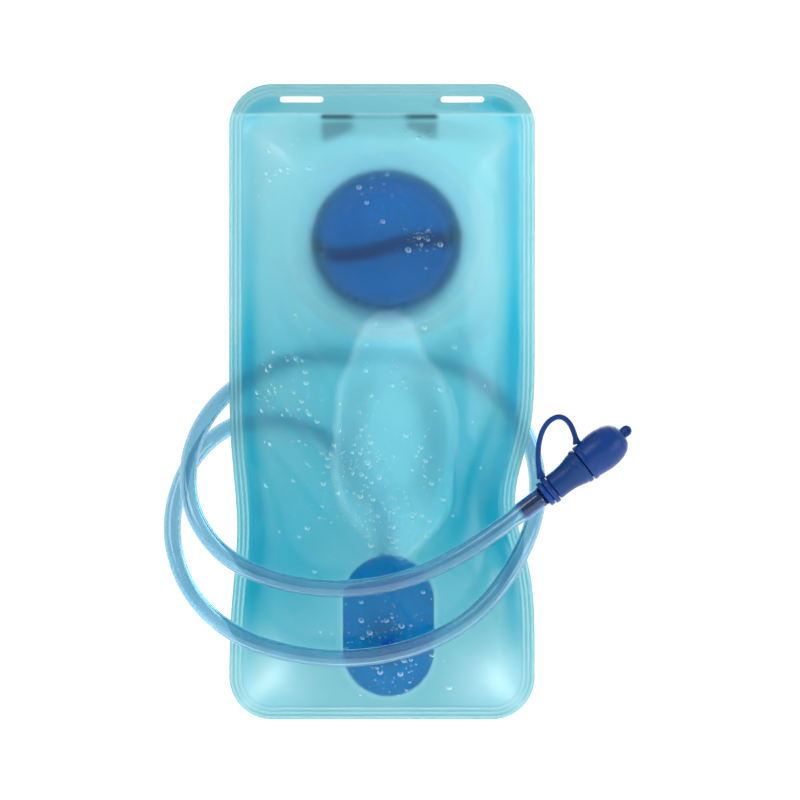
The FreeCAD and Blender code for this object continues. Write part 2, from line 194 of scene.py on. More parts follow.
def apply_modifiers(obj):
    """Swap an object's mesh for what its modifiers make of it."""
    mesh = evaluated_mesh(obj)
    obj.modifiers.clear()
    obj.data = mesh
    shade_smooth(mesh)


def curve_points(places, order, resolution):
    """Points along a NURBS curve that ends on its first and last place."""
    data = bpy.data.curves.new("line", "CURVE")
    data.dimensions = "3D"
    spline = data.splines.new("NURBS")
    spline.points.add(len(places) - 1)
    for point, place in zip(spline.points, places):
        point.co = (*place, 1.0)
    spline.order_u = order
    spline.use_endpoint_u = True
    spline.resolution_u = resolution
    line = bpy.data.objects.new("line", data)
    bpy.context.scene.collection.objects.link(line)
    mesh = evaluated_mesh(line)
    points = [vertex.co.copy() for vertex in mesh.vertices]
    bpy.data.objects.remove(line)
    bpy.data.meshes.remove(mesh)
    return points


def path_tangents(points):
    """Direction of a path at each of its points."""
    before = points[:1] + points[:-1]
    after = points[1:] + points[-1:]
    return [(b - a).normalized() for a, b in zip(before, after)]


def surface_tree(obj):
    """Tree for rays cast at an object's faces."""
    return BVHTree.FromPolygons([obj.matrix_world @ vertex.co for vertex in obj.data.vertices],
                                [tuple(polygon.vertices) for polygon in obj.data.polygons])


def strip_faces(rows, around, first=0, inward=False):
    """Quads between rows of points, each of which closes on itself."""
    faces = []
    for i in range(rows - 1):
        for k in range(around):
            a = first + i * around + k
            b = first + i * around + (k + 1) % around
            quad = (a, b, b + around, a + around)
            faces.append(quad[::-1] if inward else quad)
    return faces


def circle(around):
    """Angles of evenly spaced points round a circle."""
    return [2.0 * math.pi * k / around for k in range(around)]


def paint(obj, material):
    obj.data.materials.clear()
    obj.data.materials.append(material)


def finish_piece(obj, body, material, slot, *nodes):
    """Give a piece its material, and set it riding on a body. The slot is not used."""
    paint(obj, material)
    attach(obj, body)
    if nodes:
        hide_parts(*nodes)
    return obj


# ---- materials

FILM_LIGHT = (0.475, 0.75, 0.785)
FILM_MID = (0.355, 0.675, 0.74)
FILM_DEEP = (0.08, 0.61, 0.725)
# Pale tone for the welds and the haze, also used for the painted highlights.
FILM_PALE = (0.80, 0.94, 0.96)
FILM_SHADE = (0.05, 0.17, 0.20)
CAP_DARK = (0.006, 0.38, 0.80)
CAP_LIGHT = (0.012, 0.48, 0.90)
CAP_BAND = (0.002, 0.07, 0.30)
HOSE_DARK = (0.21, 0.53, 0.71)
HOSE_LIGHT = (0.27, 0.61, 0.80)
HOSE_BORE = (0.88, 0.95, 0.98)
HOSE_ON_BARB = (0.004, 0.17, 0.52)


def new_material(name):
    """A node material and its Principled shader."""
    material = bpy.data.materials.new(name)
    material.use_nodes = True
    return material, material.node_tree.nodes["Principled BSDF"]


def set_values(node, **values):
    """Set a node's inputs, whose names have _ for a space here, and its settings."""
    for key, value in values.items():
        label = key.replace("_", " ")
        if label in node.inputs:
            node.inputs[label].default_value = value
        else:
            setattr(node, key, value)


def add_node(material, kind, **values):
    node = material.node_tree.nodes.new(kind)
    set_values(node, **values)
    return node


def join(material, out_socket, in_socket):
    material.node_tree.links.new(out_socket, in_socket)


def noise_value(material, scale, detail=3.0, stretch=(1, 1, 1)):
    """Noise over the piece's own coordinates, from 0 to 1."""
    coordinates = add_node(material, "ShaderNodeTexCoord")
    mapping = add_node(material, "ShaderNodeMapping", Scale=stretch)
    texture = add_node(material, "ShaderNodeTexNoise", Scale=scale, Detail=detail)
    join(material, coordinates.outputs["Object"], mapping.inputs["Vector"])
    join(material, mapping.outputs["Vector"], texture.inputs["Vector"])
    return texture.outputs["Fac"]


def ramp(material, value, stops):
    """Colour ramp through (position, colour) stops."""
    node = add_node(material, "ShaderNodeValToRGB")
    elements = node.color_ramp.elements
    while len(elements) < len(stops):
        elements.new(0.5)
    for element, (position, colour) in zip(elements, stops):
        element.position = position
        element.color = (*colour, 1.0)
    join(material, value, node.inputs["Fac"])
    return node.outputs["Color"]


def scaled(material, value, low, high):
    """A 0 to 1 value spread between low and high."""
    node = add_node(material, "ShaderNodeMapRange", To_Min=low, To_Max=high)
    join(material, value, node.inputs["Value"])
    return node.outputs["Result"]


def mark(material, label):
    """A number that the mesh carries at each of its points."""
    return add_node(material, "ShaderNodeAttribute", attribute_name=label).outputs["Fac"]


def worked_out(material, operation, *terms):
    """What a Math node makes of sockets and numbers."""
    node = add_node(material, "ShaderNodeMath", operation=operation)
    for socket, term in zip(node.inputs, terms):
        if isinstance(term, float):
            socket.default_value = term
        else:
            join(material, term, socket)
    return node.outputs[0]


def dot_with(material, vector, direction):
    """How far a vector reaches along a direction."""
    node = add_node(material, "ShaderNodeVectorMath", operation="DOT_PRODUCT")
    node.inputs[1].default_value = direction
    join(material, vector, node.inputs[0])
    return node.outputs["Value"]


def cloudy(material, scale, detail, dark, light):
    """Colour that drifts between two tones."""
    return ramp(material, noise_value(material, scale, detail), [(0.3, dark), (0.7, light)])


def tinted(material, share, colour, towards):
    """A colour moved towards a fixed one by a share."""
    node = add_node(material, "ShaderNodeMix", data_type="RGBA")
    node.inputs[7].default_value = (*towards, 1.0)
    join(material, share, node.inputs[0])
    join(material, colour, node.inputs[6])
    return node.outputs[2]


def set_surface(material, shader, colour, patch_scale, low, high, grain, strength, distance):
    """Set a shader's colour, a gloss between two roughnesses, and a fine grain."""
    join(material, colour, shader.inputs["Base Color"])
    patches = noise_value(material, patch_scale, 2.0)
    join(material, scaled(material, patches, low, high), shader.inputs["Roughness"])
    bump = add_node(material, "ShaderNodeBump", Strength=strength, Distance=distance)
    join(material, noise_value(material, grain, 2.0), bump.inputs["Height"])
    join(material, bump.outputs["Normal"], shader.inputs["Normal"])


def show_mixed(material, share, first, second):
    """Show two shaders mixed by a share, which is a number or a socket."""
    node = add_node(material, "ShaderNodeMixShader")
    if isinstance(share, float):
        node.inputs[0].default_value = share
    else:
        join(material, share, node.inputs[0])
    join(material, first.outputs[0], node.inputs[1])
    join(material, second.outputs[0], node.inputs[2])
    join(material, node.outputs[0], material.node_tree.nodes["Material Output"].inputs["Surface"])
    return node


def show_glow(material, shader, colour, amount):
    """Mix in light that comes through from behind."""
    through = add_node(material, "ShaderNodeBsdfTranslucent")
    join(material, colour, through.inputs["Color"])
    return show_mixed(material, amount, shader, through)


def plastic(name, dark, light, roughness, bump=0.06):
    """Moulded plastic: cloudy colour, uneven gloss and a fine grain."""
    material, shader = new_material(name)
    colour = cloudy(material, 45.0, 4.0, dark, light)
    set_surface(material, shader, colour, 120.0, roughness - 0.05, roughness + 0.06, 900.0, bump, 0.0003)
    set_values(shader, Specular_IOR_Level=0.28)
    return material


def film_material(name, frosting, haze_share, haze_pale):
    """Frosted TPU film: clear with a cyan cast, deeper beside the welds, paler on them, and with the painted
    highlights and painted shade that its mesh carries.
    """
    material, shader = new_material(name)
    pale = mark(material, "pale")
    cloud = noise_value(material, 14.0, 3.0, (1.0, 1.0, 0.5))
    colour = ramp(material, cloud, [(0.25, FILM_LIGHT), (0.75, FILM_MID)])
    colour = tinted(material, mark(material, "tint"), colour, FILM_DEEP)
    colour = tinted(material, pale, colour, FILM_PALE)
    colour = tinted(material, mark(material, "shade"), colour, FILM_SHADE)
    set_surface(material, shader, colour, 60.0, frosting - 0.04, frosting + 0.05, 700.0, 0.05, 0.0002)
    set_values(shader, Transmission_Weight=1.0, IOR=1.38, Coat_Weight=0.25, Coat_Roughness=0.22)
    share = scaled(material, pale, haze_share, haze_share + haze_pale)
    hazy = show_glow(material, shader, colour, share)
    window = add_node(material, "ShaderNodeBsdfTransparent", Color=(0.80, 0.95, 0.98, 1.0))
    show_mixed(material, mark(material, "fused"), hazy, window)
    return material


def cap_material():
    """Blue translucent plastic. The grip bar outside shows as a dark band inside."""
    wave_length = 0.0165
    swing = 0.0048
    skin_height = 0.0139
    material, shader = new_material("cap")
    coordinates = add_node(material, "ShaderNodeTexCoord")
    place = add_node(material, "ShaderNodeVectorMath", operation="SUBTRACT")
    place.inputs[1].default_value = MOUTH
    join(material, coordinates.outputs["Object"], place.inputs[0])
    across, upward, outward = (dot_with(material, place.outputs[0], direction)
                               for direction in (Vector((1, 0, 0)), MOUTH_UP, MOUTH_OUT))
    wave = worked_out(material, "SINE", worked_out(material, "MULTIPLY", across, 1.0 / wave_length))
    distance = worked_out(material, "ABSOLUTE", worked_out(material, "MULTIPLY_ADD", wave, -swing, upward))
    band = add_node(material, "ShaderNodeMapRange", interpolation_type="SMOOTHSTEP",
                    From_Min=0.0032, From_Max=0.0062, To_Min=1.0, To_Max=0.0)
    join(material, distance, band.inputs["Value"])
    inside = worked_out(material, "LESS_THAN", outward, skin_height)
    mask = worked_out(material, "MULTIPLY", band.outputs[0], inside)
    colour = tinted(material, mask, cloudy(material, 40.0, 4.0, CAP_DARK, CAP_LIGHT), CAP_BAND)
    set_surface(material, shader, colour, 120.0, 0.28, 0.38, 1100.0, 0.05, 0.0003)
    set_values(shader, Coat_Weight=0.2)
    show_glow(material, shader, colour, 0.5)
    return material


def clear_blue(name, dark, light, amount):
    """Blue plastic that lets light through."""
    material, shader = new_material(name)
    colour = cloudy(material, 45.0, 4.0, dark, light)
    set_surface(material, shader, colour, 120.0, 0.24, 0.34, 900.0, 0.05, 0.0003)
    show_glow(material, shader, colour, amount)
    return material


def hose_material():
    """Clear bluish tube: the outer wall holds the colour, and the barb's blue shows at its end."""
    material, shader = new_material("hose")
    colour = cloudy(material, 45.0, 4.0, HOSE_DARK, HOSE_LIGHT)
    colour = tinted(material, mark(material, "clear"), colour, HOSE_BORE)
    colour = tinted(material, mark(material, "on_barb"), colour, HOSE_ON_BARB)
    set_surface(material, shader, colour, 120.0, 0.05, 0.12, 600.0, 0.02, 0.0003)
    set_values(shader, Transmission_Weight=0.92, IOR=1.42)
    set_values(shader, Coat_Weight=0.6, Coat_Roughness=0.05, Coat_IOR=1.6)
    return material


def milky_clear(name, share):
    """Pale, nearly clear plastic or silicone with a whitish haze."""
    material, shader = new_material(name)
    haze = cloudy(material, 50.0, 3.0, (0.66, 0.84, 0.87), (0.78, 0.90, 0.92))
    set_surface(material, shader, haze, 140.0, 0.25, 0.4, 800.0, 0.03, 0.0002)
    clear = add_node(material, "ShaderNodeBsdfTransparent", Color=(0.95, 0.99, 1.0, 1.0))
    show_mixed(material, share, clear, shader)
    return material


def droplet_material():
    """Water drops: clear in the middle, with painted shade on the upper rim, a painted highlight on the lower one,
    and a faint painted glow.
    """
    material, shader = new_material("water")
    coordinates = add_node(material, "ShaderNodeTexCoord")
    split = add_node(material, "ShaderNodeSeparateXYZ")
    join(material, coordinates.outputs["Normal"], split.inputs[0])
    # Painted shade and highlight by the way the drop's surface faces, and a faint painted glow through emission.
    side = scaled(material, split.outputs["Z"], 0.5, 1.0)
    colour = ramp(material, side, [(0.45, (0.85, 0.98, 1.0)), (0.8, (0.12, 0.42, 0.55))])
    set_surface(material, shader, colour, 300.0, 0.04, 0.10, 500.0, 0.02, 0.0001)
    join(material, colour, shader.inputs["Emission Color"])
    set_values(shader, Emission_Strength=0.25)
    clear = add_node(material, "ShaderNodeBsdfTransparent")
    rim = add_node(material, "ShaderNodeLayerWeight", Blend=0.55)
    show_mixed(material, scaled(material, rim.outputs["Facing"], 0.05, 1.0), clear, shader)
    return material


# ---- camera and stage

def make_camera():
    """Level with the middle of the picture, looking along +Y at the rear film."""
    data = bpy.data.cameras.new("camera")
    camera = bpy.data.objects.new("camera", data)
    bpy.context.scene.collection.objects.link(camera)
    distance = 1.2
    view_width = 0.448
    middle_x, middle_z = 0.0101, -0.1683
    data.sensor_width = 36.0
    data.lens = data.sensor_width * distance / view_width
    camera.location = (middle_x, -distance, middle_z)
    camera.rotation_euler = (math.pi / 2.0, 0.0, 0.0)
    bpy.context.scene.camera = camera


def make_world():
    """White surround behind, and a greyer one on the camera's side for reflections."""
    brightness = 1.05
    scene = bpy.context.scene
    scene.view_settings.view_transform = "Standard"
    scene.cycles.transparent_max_bounces = 16
    scene.cycles.transmission_bounces = 14
    scene.cycles.max_bounces = 16
    world = scene.world = bpy.data.worlds.new("studio")
    world.use_nodes = True
    lit = world.node_tree.nodes["Background"]
    set_values(lit, Strength=brightness)
    direction = add_node(world, "ShaderNodeSeparateXYZ")
    join(world, add_node(world, "ShaderNodeTexCoord").outputs["Generated"], direction.inputs[0])
    depth = add_node(world, "ShaderNodeMapRange", From_Min=-1.0)
    join(world, direction.outputs["Y"], depth.inputs["Value"])
    shade = ramp(world, depth.outputs[0], [(0.25, (0.34, 0.37, 0.41)), (0.75, (1.0, 1.0, 1.0))])
    join(world, shade, lit.inputs["Color"])
    seen = add_node(world, "ShaderNodeBackground", Color=(1.0, 1.0, 1.0, 1.0), Strength=brightness)
    both = add_node(world, "ShaderNodeMixShader")
    join(world, add_node(world, "ShaderNodeLightPath").outputs["Is Camera Ray"], both.inputs[0])
    join(world, lit.outputs[0], both.inputs[1])
    join(world, seen.outputs[0], both.inputs[2])
    join(world, both.outputs[0], world.node_tree.nodes["World Output"].inputs["Surface"])


def make_light(name, location, target, size, power, thin=None):
    """Area light. One on the camera's side isn't seen through the films from behind."""
    data = bpy.data.lights.new(name, "AREA")
    data.shape = "RECTANGLE"
    data.size = size
    data.size_y = thin or size
    data.energy = power
    light = bpy.data.objects.new(name, data)
    bpy.context.scene.collection.objects.link(light)
    light.location = location
    aim = Vector(target) - Vector(location)
    light.rotation_euler = aim.to_track_quat("-Z", "Y").to_euler()
    light.visible_transmission = light.location.y > 0.0


def make_floor():
    """Plain pale floor, well below the hanging bag."""
    size = 6.0
    drop = BAG_BOTTOM - 0.45
    corners = [(-size, -size, drop), (size, -size, drop), (size, size, drop), (-size, size, drop)]
    floor = link_mesh("floor", corners, [(0, 1, 2, 3)])
    material, shader = new_material("floor")
    stops = [(0.0, (0.9, 0.9, 0.9)), (1.0, (0.95, 0.95, 0.95))]
    tone = ramp(material, noise_value(material, 3.0, 2.0), stops)
    join(material, tone, shader.inputs["Base Color"])
    set_values(shader, Roughness=0.9, Emission_Color=(1.0, 1.0, 1.0, 1.0), Emission_Strength=0.5)
    floor.data.materials.append(material)


# ---- hose

def carried_frames(points):
    """Two directions across the path at each point, carried along without twist."""
    tangents = path_tangents(points)
    side = tangents[0].orthogonal().normalized()
    frames = []
    for tangent in tangents:
        side = (side - tangent * side.dot(tangent)).normalized()
        frames.append((side, tangent.cross(side)))
    return frames


def hose_mesh(points, lengths):
    """A hollow tube along the points, whose walls are wider where it sits on a fitting."""
    around = 40
    flare_length = 0.004
    walls = [(HOSE_OD / 2.0, 0.0006), (HOSE_ID / 2.0, 0.0009)]
    frames = carried_frames(points)
    verts = []
    for wall, flare in walls:
        for point, (across, up), length in zip(points, frames, lengths):
            from_end = min(length, lengths[-1] - length)
            reach = wall + flare * smooth((HOSE_ON_FITTING - from_end) / flare_length)
            for angle in circle(around):
                verts.append(point + (across * math.cos(angle) + up * math.sin(angle)) * reach)
    bore = len(points) * around
    last = bore - around
    faces = strip_faces(len(points), around) + strip_faces(len(points), around, bore, inward=True)
    for k in range(around):
        k2 = (k + 1) % around
        faces.append((k2, k, bore + k, bore + k2))
        faces.append((last + k, last + k2, bore + last + k2, bore + last + k))
    return link_mesh("hose", verts, faces), around


def make_hose():
    """The hose, the points along its middle, and its length."""
    points = curve_points(HOSE_ROUTE, 3, 16)
    lengths = [0.0]
    for a, b in zip(points, points[1:]):
        lengths.append(lengths[-1] + (b - a).length)
    hose, around = hose_mesh(points, lengths)
    to_mouthpiece = np.repeat(lengths[-1] - np.array(lengths), around)
    on_barb = [0.95 * smooth((BARB_REACH + 0.001 - distance) / 0.002) for distance in to_mouthpiece]
    carry(hose, "clear", [0.0] * len(on_barb) + [1.0] * len(on_barb))
    carry(hose, "on_barb", on_barb + on_barb)
    return hose, points, lengths[-1]


# ---- bag films

def ridge(distance, middle, width, height):
    return height * math.exp(-((distance - middle) / width) ** 2)


def edge_x(side, z):
    """The bag's edge at a height, on the right (1) or the left (-1), drawn in at the waist."""
    depth, height, spread = PINCH_RIGHT if side > 0 else PINCH_LEFT
    return side * (HALF_WIDTH - ridge(z, height, spread, depth))


def outline_points(count):
    """The bag's outer edge, clockwise from the middle of the top, evenly spaced."""
    steps = 60
    top, low = BAG_TOP - CORNER_R, BAG_BOTTOM + CORNER_R
    straight = HALF_WIDTH - CORNER_R

    def corner(x, z, start):
        angles = math.radians(start) - np.linspace(0.0, math.pi / 2.0, steps, endpoint=False)
        return [(x + CORNER_R * math.cos(angle), z + CORNER_R * math.sin(angle)) for angle in angles]

    def across(start, end, z):
        return [(x, z) for x in np.linspace(start, end, steps, endpoint=False)]

    def along_side(side, start, end):
        return [(edge_x(side, z), z) for z in np.linspace(start, end, 4 * steps, endpoint=False)]

    points = across(0.0, straight, BAG_TOP) + corner(straight, top, 90.0)
    points += along_side(1, top, low) + corner(straight, low, 0.0)
    points += across(straight, -straight, BAG_BOTTOM) + corner(-straight, low, -90.0)
    points += along_side(-1, low, top) + corner(-straight, top, -180.0)
    points += across(-straight, 0.0, BAG_TOP)
    loop = np.array(points + [points[0]])
    along = np.concatenate([[0.0], np.cumsum(np.hypot(*np.diff(loop, axis=0).T))])
    places = np.linspace(0.0, along[-1], count, endpoint=False)
    return np.stack([np.interp(places, along, loop[:, 0]), np.interp(places, along, loop[:, 1])], axis=1)


def mouth_radius(x, z):
    """Distance from the mouth's axis, for a point of the front film's flat round area."""
    y = MOUTH.y + (z - MOUTH.z) * (-MOUTH_OUT.z / MOUTH_OUT.y)
    return (Vector((x, y, z)) - MOUTH).length


def outlet_distance(x, z):
    """Distance outside the outlet plate's oval edge, negative on the plate."""
    half = (OUTLET_HIGH.x - OUTLET_LOW.x) / 2.0
    mid_z = (OUTLET_HIGH.z + OUTLET_LOW.z) / 2.0
    straight = (OUTLET_HIGH.z - OUTLET_LOW.z) / 2.0 - half
    return math.hypot(x - BOSS.x, max(abs(z - mid_z) - straight, 0.0)) - half


def film_rings(count):
    """Rings of (x, z) points from the film's edge to its middle line, with each ring's inset."""
    edge = outline_points(count)
    ahead = np.roll(edge, -1, axis=0) - np.roll(edge, 1, axis=0)
    inward = np.stack([ahead[:, 1], -ahead[:, 0]], axis=1)
    inward /= np.linalg.norm(inward, axis=1)[:, None]
    insets = list(np.arange(0.0, 0.0108, 0.0004)) + list(np.arange(0.0112, 0.0201, 0.0011))
    rings = [edge + inward * inset for inset in insets]
    last = rings[-1]
    middle_z = np.clip(last[:, 1], BAG_BOTTOM + 0.085, BAG_TOP - 0.085)
    spacing = 1.5 * float(np.hypot(*(edge[1] - edge[0])))
    spine = np.stack([np.zeros(count), np.round(middle_z / spacing) * spacing], axis=1)
    steps = 42
    for i in range(1, steps + 1):
        rings.append(last + (spine - last) * (i / steps))
        insets.append(0.020 + 0.065 * i / steps)
    return np.array(rings), np.array(insets)


def cad_heights(node, side, places):
    """Middle of a CAD film at every (x, z) place, as found from its outer side."""
    tree = surface_tree(frame["nodes"][node])
    heights = np.zeros(len(places))
    for i, (x, z) in enumerate(places):
        hit = tree.ray_cast(Vector((x, 0.2 * side, z)), Vector((0.0, -side, 0.0)))[0]
        heights[i] = hit.y - side * CAD_FILM_T / 2.0 if hit is not None else side * CAD_FILM_T / 2.0
    return heights


def height_field(node, side):
    """The CAD film's surface on an even grid, as it is and with its facets averaged out."""
    step = 0.001
    margin = 4 * step
    xs = np.arange(-HALF_WIDTH - margin, HALF_WIDTH + margin, step)
    zs = np.arange(BAG_BOTTOM - margin, BAG_TOP + margin, step)
    grid_x, grid_z = np.meshgrid(xs, zs, indexing="ij")
    places = np.stack([grid_x.ravel(), grid_z.ravel()], axis=1)
    exact = cad_heights(node, side, places).reshape(grid_x.shape)
    if node == "front_film":
        around = np.array([mouth_radius(x, z) for x, z in places]).reshape(grid_x.shape)
        tilt = -MOUTH_OUT.z / MOUTH_OUT.y * (grid_z - MOUTH.z)
        opening = around < MOUTH_HOLE_R + 0.003
        level = float(np.mean((exact - tilt)[~opening & (around < FLANGE_R)]))
        exact = np.where(opening, level + tilt, exact)
    even = exact
    for _ in range(12):
        for axis in (0, 1):
            even = (np.roll(even, 1, axis) + 2.0 * even + np.roll(even, -1, axis)) / 4.0
    return xs, zs, exact, even


def film_heights(node, side, rings, insets):
    """Height of every ring point: exact on the flat weld, averaged inside it."""
    xs, zs, exact, even = height_field(node, side)
    step = xs[1] - xs[0]
    u = (rings[..., 0] - xs[0]) / step
    v = (rings[..., 1] - zs[0]) / step
    i, j = u.astype(int), v.astype(int)
    u, v = u - i, v - j

    def at(grid):
        low = grid[i, j] * (1.0 - u) + grid[i + 1, j] * u
        high = grid[i, j + 1] * (1.0 - u) + grid[i + 1, j + 1] * u
        return low * (1.0 - v) + high * v
    inner = np.clip((insets - WELD_WIDTH) / 0.005, 0.0, 1.0)[:, None]
    return at(exact) * (1.0 - inner) + at(even) * inner


def bump_at(x, z, centre, spread):
    return math.exp(-((x - centre[0]) / spread[0]) ** 2 - ((z - centre[1]) / spread[1]) ** 2)


def wrinkle(x, z, inset, seed):
    """Small folds of a limp film: soft dents inside, short puckers along the weld."""
    place = Vector((x * 14.0, z * 9.0, seed))
    soft = noise.noise(place) * 0.0016 + noise.noise(place * 2.7) * 0.0006
    along = Vector((x * 60.0, z * 60.0, seed + 5.0))
    pucker = noise.noise(along) * 0.0009 * math.exp(-((inset - 0.013) / 0.006) ** 2)
    fold = noise.noise(Vector((x * 30.0 + z * 22.0, z * 4.0, seed + 9.0)))
    crease = 0.0005 * smooth(1.0 - abs(fold) * 5.0)
    return (soft + crease) * smooth((inset - 0.012) / 0.018) + pucker


def weld_marks(x, z, inset):
    """Height of the weld's ridges, and how pale and how dark the film is there: a little paler over the whole
    weld, with painted highlights along its ridges and painted shade in its grooves.
    """
    lines = sum(ridge(inset, middle, WELD_LINE, 1.0) for middle in WELD_RIDGES)
    groove_shade = sum(ridge(inset, middle, WELD_LINE, 1.0) for middle in WELD_GROOVES)
    height = 0.00035 * lines
    pale = 0.20 * clamp01((0.0078 - inset) / 0.0008) + 0.75 * lines
    dark = 0.08 * groove_shade
    if z > HANG_BAND_Z - 0.004:
        # The hang band's weld line gets a painted highlight, with painted shade just above it.
        band_line = ridge(z, HANG_BAND_Z, 0.0008, 1.0)
        height += 0.0004 * band_line
        pale = max(pale, 0.9 * band_line)
        dark = max(dark, 0.10 * ridge(z, HANG_BAND_Z + 0.0018, 0.0008, 1.0))
    return height, clamp01(pale), dark


# Corner folds of the filled bag: each runs from a corner inwards, as two (x, z) points.
CORNER_FOLDS = [((-0.078, -0.016), (-0.046, -0.040)), ((0.076, -0.016), (0.045, -0.042)),
                ((-0.076, -0.338), (-0.040, -0.300)), ((0.076, -0.338), (0.044, -0.304))]
CORNER_FOLD_WIDTH = 0.006


def corner_fold(x, z):
    """How near a point is to a corner fold, from 0 to 1."""
    share = 0.0
    for (ax, az), (bx, bz) in CORNER_FOLDS:
        dx, dz = bx - ax, bz - az
        along = clamp01(((x - ax) * dx + (z - az) * dz) / (dx ** 2 + dz ** 2))
        distance = math.hypot(x - ax - along * dx, z - az - along * dz)
        if distance < 4.0 * CORNER_FOLD_WIDTH:
            share = max(share, ridge(distance, 0.0, CORNER_FOLD_WIDTH, smooth((1.0 - along) / 0.6)))
    return share


def colour_marks(x, z, inset, node):
    """How deep the cyan is, how milky the film is with its painted highlights, and how much painted shade it has,
    each from 0 to 1.
    """
    edge = 0.0012
    side_band = ridge(inset, 0.0115, 0.0045, smooth((abs(x) - 0.045) / 0.02))
    streak = 0.75 + 0.8 * noise.noise(Vector((x * 3.0, z * 11.0, 3.0)))
    cloud = noise.noise(Vector((x * 16.0 + 2.0, z * 9.0, 4.0)))
    waist = smooth((-0.118 - z) / 0.03) * smooth((z + 0.325) / 0.05) * (0.75 - cloud)
    # Painted shade in the hollow of the drawn-in waist on the right, as deeper cyan and a darker film.
    hollow = bump_at(x, z, (0.052, -0.226), (0.020, 0.034))
    low = bump_at(x, z, (-0.030, -0.235), (0.050, 0.035)) + 2.8 * hollow
    deep = clamp01(0.85 * side_band * streak + 0.34 * waist + 0.22 * low)
    # Painted highlights: glows at the bottom corners, a softer one at the top left, and along the corner folds.
    corner = bump_at(abs(x), z, (0.066, -0.325), (0.024, 0.024))
    top_left_highlight = bump_at(x, z, (-0.062, -0.035), (0.025, 0.030))
    # The film is also a little paler towards the top.
    above = smooth((z + 0.125) / 0.03)
    milky_and_highlight = 0.78 * corner + 0.25 * top_left_highlight + 0.2 * corner_fold(x, z) + 0.15 * above
    shade = 0.15 * smooth((z - HANG_BAND_Z) / 0.001) + 0.08 * hollow
    if node == "rear_film":
        inside = patch_inset(x, z)
        wet = smooth(inside / edge)
        deep *= 1.0 - wet
        # The patch's crease gets a painted highlight line.
        milky_and_highlight = max(milky_and_highlight, 0.75 * wet, ridge(inside, 0.0, 0.0008, 1.0))
        shade = max(shade, 0.5 * fold_shadow(x, z))
    else:
        around = mouth_radius(x, z)
        flange = smooth((MOUTH_WELDS[1] + 0.001 - around) / 0.0025)
        weld = ridge(around, MOUTH_WELDS[1], edge, 1.0)
        plate = smooth((0.0035 - outlet_distance(x, z)) / 0.002)
        milky_and_highlight = max(milky_and_highlight, 0.5 * flange + 0.3 * weld, 0.12 * plate)
        shade = max(shade, top_shadow(x, z, around))
    return deep, clamp01(milky_and_highlight), shade


def fused_share(x, z, node):
    """How clear the film is where it clings to what lies behind it."""
    if node == "rear_film":
        clinging = 0.42 * smooth(patch_inset(x, z) / 0.0015)
        return max(clinging, 0.6 * smooth((0.004 - outlet_distance(x, z)) / 0.007))
    plate = 0.85 * smooth((0.0015 - outlet_distance(x, z)) / 0.0035)
    return max(plate, 0.12 * smooth((FLANGE_R + 0.002 - mouth_radius(x, z)) / 0.0015))


def under_band(x):
    """How far x is within the fold under the hang band, and how near its ends."""
    from_middle = abs(x + 0.0015)
    return smooth((0.034 - from_middle) / 0.003), smooth((from_middle - 0.012) / 0.006)


def fold_shadow(x, z):
    """Thin dark line under the hang band, darkest towards its two ends."""
    across, outer = under_band(x)
    return ridge(z, HANG_BAND_Z - 0.0012, 0.0014, 1.0) * across * (0.3 + 0.7 * outer)


def top_shadow(x, z, around):
    """Shadow where the film climbs steeply from the hang band to the neck's flange."""
    across, outer = under_band(x)
    band = across * smooth((z - HANG_BAND_Z) / 0.001)
    below = smooth((-0.0120 - z) / 0.001)
    above = smooth((z + 0.0145 + 0.38 * (abs(x) - 0.012)) / 0.0015)
    climb = smooth((around - FLANGE_R - 0.007) / 0.002) * above * below * across * outer
    return clamp01(0.9 * fold_shadow(x, z) + 0.16 * band + 0.6 * climb)


def make_film(node, side, material):
    """One film as a thin sheet over the CAD film's surface, with its welds and wrinkles."""
    count = 620
    rings, insets = film_rings(count)
    heights = film_heights(node, side, rings, insets)
    seed = 1.5 if node == "rear_film" else 7.5
    verts, tint, pale, dark, clear = [], [], [], [], []
    for r, inset in enumerate(insets):
        for k in range(count):
            x, z = rings[r, k]
            ridges, weld_pale_and_highlight, weld_groove_shade = weld_marks(x, z, inset)
            deep, milky_and_highlight, shade = colour_marks(x, z, inset, node)
            y = heights[r, k] + side * ridges + wrinkle_share(x, z, node) * wrinkle(x, z, inset, seed)
            y += side * (node_marks(x, z, node) + 0.0005 * corner_fold(x, z))
            verts.append((x, y, z))
            tint.append(deep)
            pale.append(max(weld_pale_and_highlight, milky_and_highlight))
            dark.append(max(shade, weld_groove_shade))
            clear.append(fused_share(x, z, node))
    film = link_mesh(node + "_sheet", verts, strip_faces(len(insets), count, inward=side > 0))
    for label, values in (("tint", tint), ("pale", pale), ("shade", dark), ("fused", clear)):
        carry(film, label, values)
    cut_holes(film, node)
    thicken = film.modifiers.new("thickness", "SOLIDIFY")
    thicken.thickness = SHEET_T
    thicken.offset = 0.0
    apply_modifiers(film)
    cut_slots(film)
    return finish_piece(film, root, material, "film", node)


def wrinkle_share(x, z, node):
    """Films are taut over the neck's flange and the outlet's plate."""
    if node == "rear_film":
        return 1.0
    share = smooth((mouth_radius(x, z) - FLANGE_R - 0.004) / 0.015)
    return share * smooth((outlet_distance(x, z) - 0.004) / 0.012)


def node_marks(x, z, node):
    """Raised welds round the mouth and the outlet, and the clinging patch's crease."""
    if node == "front_film":
        around = mouth_radius(x, z)
        lines = [around - MOUTH_WELDS[0], around - MOUTH_WELDS[1], outlet_distance(x, z) - 0.0018]
        return sum(ridge(distance, 0.0, 0.0008, 0.0004) for distance in lines)
    inside = patch_inset(x, z)
    return ridge(inside, 0.0, 0.0012, 0.0011) - 0.0014 * smooth((inside - 0.001) / 0.003)


